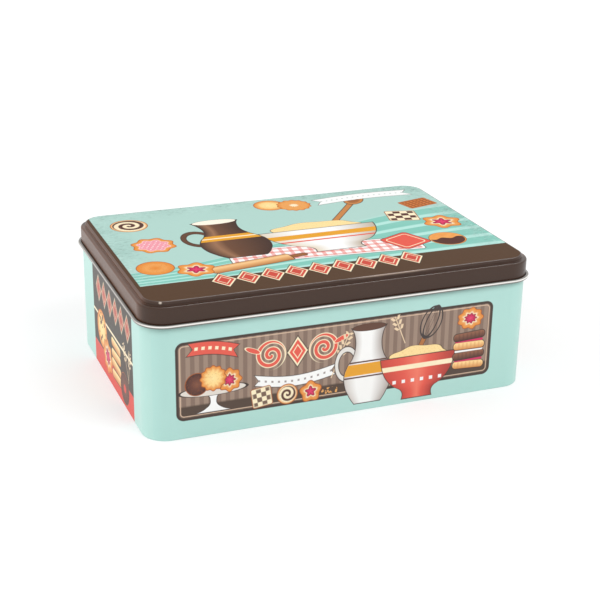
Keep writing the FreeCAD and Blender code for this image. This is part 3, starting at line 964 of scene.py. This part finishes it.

# The curl is bare metal. A painted highlight runs along its crest, brighter on the long sides than
# at the ends, and the rest of the curl is painted darker as shade.
HIGHLIGHT_MIDDLE = 58.75 * MM
HIGHLIGHT_EDGE, HIGHLIGHT_FULL = 0.42 * MM, 0.18 * MM
BRIGHT_FROM, BRIGHT_FULL = 58 * MM, 66 * MM
rolled = Finish("rolled_edge", {"Metallic": 1})
across, height = rolled.axes(rolled.place)[1:]
crest_highlight = rolled.between(abs(height - HIGHLIGHT_MIDDLE), HIGHLIGHT_EDGE, HIGHLIGHT_FULL)
long_side = rolled.between(abs(across), BRIGHT_FROM, BRIGHT_FULL)
highlight_ink = rolled.mix(long_side, ink(196, 190, 184), ink(250, 247, 242))
scuff = rolled.noise(rolled.place, 400, 2)
# Painted highlight on the crest, painted shade on the rest of the curl.
feed(rolled.shader.inputs["Base Color"], rolled.mix(crest_highlight, ink(136, 133, 129), highlight_ink))
feed(rolled.shader.inputs["Roughness"], 0.28 + 0.14 * scuff)

lid_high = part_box("lid")[1]
lid_strip = Strip("tin_lid", corner_middle[0], wall_low[1] + LID_FLAT, lid_high[2], 180)
lid_strip.bend(LID_TOP_EDGE, 90, 8)
lid_strip.run(lid_high[2] - LID_SHOULDER - LID_TOP_EDGE - LID_FOOT)
lid_strip.bend(LID_FOOT, -90, 6)
lid_strip.run(lid_strip.y - wall_low[1] + LID_SKIRT_OUT - LID_SHOULDER_EDGE)
lid_strip.bend(LID_SHOULDER_EDGE, 90, 8)
lid_strip.run(LID_SHOULDER - LID_SHOULDER_EDGE - LID_CURL_MIDDLE)
lid_strip.bend(LID_CURL, -LID_CURL_TURN, 20)
take_round(lid_strip, corner_middle)
tin_lid = lid_strip.piece
cover(tin_lid, lambda place: place.z > lid_high[2] - HAIR)
give_thickness(tin_lid, (lid_print, BARE, brown_print, rolled.material))
FLAT_TOP, BARE_METAL, SKIRT, CURL = range(4)
LEVEL = 0.9999


def lid_finish(place, normal):
    """The top's print on its flat, and brown on the rest of the outside."""
    return FLAT_TOP if place.z > TOP_PRINT_FOOT and normal.z > LEVEL else SKIRT


share_out(tin_lid, lid_finish)

# The curl is the bare metal that lies further out than the skirt.
corner_out = [abs(middle) for middle in corner_middle]
for face in tin_lid.data.polygons:
    past_corner = [max(abs(far) - out, 0) for far, out in zip(face.center, corner_out)]
    if face.material_index == BARE_METAL and hypot(*past_corner) - CORNER > LID_SKIRT_OUT:
        face.material_index = CURL
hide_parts("lid")
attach(tin_lid, "lid")

# ---------------------------------------------------------------- Camera
# It looks down on the tin a little, from the left of its front, through a long
# lens. Turn, rise and roll are in degrees, the lens and the film in mm.
CAMERA_TURN = -21.65
CAMERA_RISE = 21.62
CAMERA_ROLL = 0.92
CAMERA_REACH = 698.53 * MM
CAMERA_LENS = 79.66
CAMERA_FILM = 36
LOOKED_AT = Vector((1.75 * MM, 0, 33.8 * MM))
turn, rise, roll = [radians(angle) for angle in (CAMERA_TURN, CAMERA_RISE, CAMERA_ROLL)]
backward = Vector((sin(turn) * cos(rise), -cos(turn) * cos(rise), sin(rise)))
level_right = Vector((0, 0, 1)).cross(backward).normalized()
level_up = backward.cross(level_right)
right = level_right * cos(roll) + level_up * sin(roll)
up = level_up * cos(roll) - level_right * sin(roll)
bpy.ops.object.camera_add()
camera = bpy.context.object
camera.data.lens = CAMERA_LENS
camera.data.sensor_width = CAMERA_FILM
stand = Matrix.Translation(LOOKED_AT + backward * CAMERA_REACH)
camera.matrix_world = stand @ Matrix((right, up, backward)).transposed().to_4x4()
bpy.context.scene.camera = camera

# ---------------------------------------------------------------- Floor and light
# A white table that keeps the tin's soft shadow, and an even white studio. The
# table is lifted to white for rays that are seen, a little less near the tin.
FLOOR_WIDE = 8
FLOOR_DROP = 0.02 * MM
FLOOR_LIFT_NEAR = 0.56
FLOOR_LIFT_FAR = 0.74
FLOOR_LIFT_COLOUR = (0.985, 1, 1, 1)
FLOOR_NEAR, FLOOR_FAR = 0.15, 0.75
bpy.ops.object.select_all(action="DESELECT")
bpy.ops.mesh.primitive_plane_add(size=FLOOR_WIDE, location=(0, 0, -FLOOR_DROP))
bpy.ops.object.transform_apply(location=True, rotation=False, scale=False)
floor = bpy.context.object
floor.name = "floor"
paper = Finish("white_table", {"Roughness": 0.9, "Specular IOR Level": 0.1})
rays = paper.node("ShaderNodeLightPath", {}, {}).socket.node.outputs
tone = paper.mix(paper.noise(paper.place, 3), ink(176, 176, 176), ink(179, 179, 179))
colour = paper.mix(Value(rays["Is Diffuse Ray"]), tone, ink(230, 230, 230))
feed(paper.shader.inputs["Base Color"], colour)


def seen(rays):
    """1 for the rays that show the white: the camera's, and those off gloss and glass."""
    kinds = [Value(rays[f"Is {kind} Ray"]) for kind in ("Camera", "Glossy", "Transmission")]
    return kinds[0].math("MAXIMUM", kinds[1]).math("MAXIMUM", kinds[2])


away = paper.between(paper.length(paper.place), FLOOR_NEAR, FLOOR_FAR)
strength = seen(rays) * (FLOOR_LIFT_NEAR + (FLOOR_LIFT_FAR - FLOOR_LIFT_NEAR) * away)
glow = {"Color": FLOOR_LIFT_COLOUR, "Strength": strength}
lift = paper.node("ShaderNodeEmission", {}, glow)
both = paper.node("ShaderNodeAddShader", {}, {0: Value(paper.shader.outputs[0]), 1: lift})
feed(paper.tree.nodes["Material Output"].inputs["Surface"], both)
floor.data.materials.append(paper.material)

# A lamp in front and one at the left end give the plain light. The card overhead
# shows only as the bright line along the lid's bent edges. Each has its place,
# width, depth and power.
LAMPS = (
    ("front_lamp", (0.5, -1.15, 1.25), 0.8, 0.8, 11),
    ("left_lamp", (-1.5, 0.3, 0.45), 0.8, 0.8, 10),
    ("edge_card", (0.51, 0.65, 1.19), 0.9, 0.2, 9),
)
for name, place, wide, deep, energy in LAMPS:
    bpy.ops.object.light_add(type="AREA", location=place)
    lamp = bpy.context.object
    lamp.name = name
    lamp.data.shape = "RECTANGLE"
    lamp.data.size = wide
    lamp.data.size_y = deep
    lamp.data.energy = energy
    lamp.rotation_euler = (LOOKED_AT - Vector(place)).to_track_quat("-Z", "Y").to_euler()
    lamp.visible_diffuse = name != "edge_card"
    lamp.visible_glossy = name == "edge_card"

# The studio's walls light the tin a little less than they show.
SKY = 0.8
scene = bpy.context.scene
scene.view_settings.view_transform = "Standard"
world = bpy.data.worlds.new("studio")
scene.world = world
world.use_nodes = True
background = world.node_tree.nodes["Background"]
background.inputs["Color"].default_value = (1, 1, 1, 1)
rays = world.node_tree.nodes.new("ShaderNodeLightPath").outputs
feed(background.inputs["Strength"], SKY + (1 - SKY) * seen(rays))
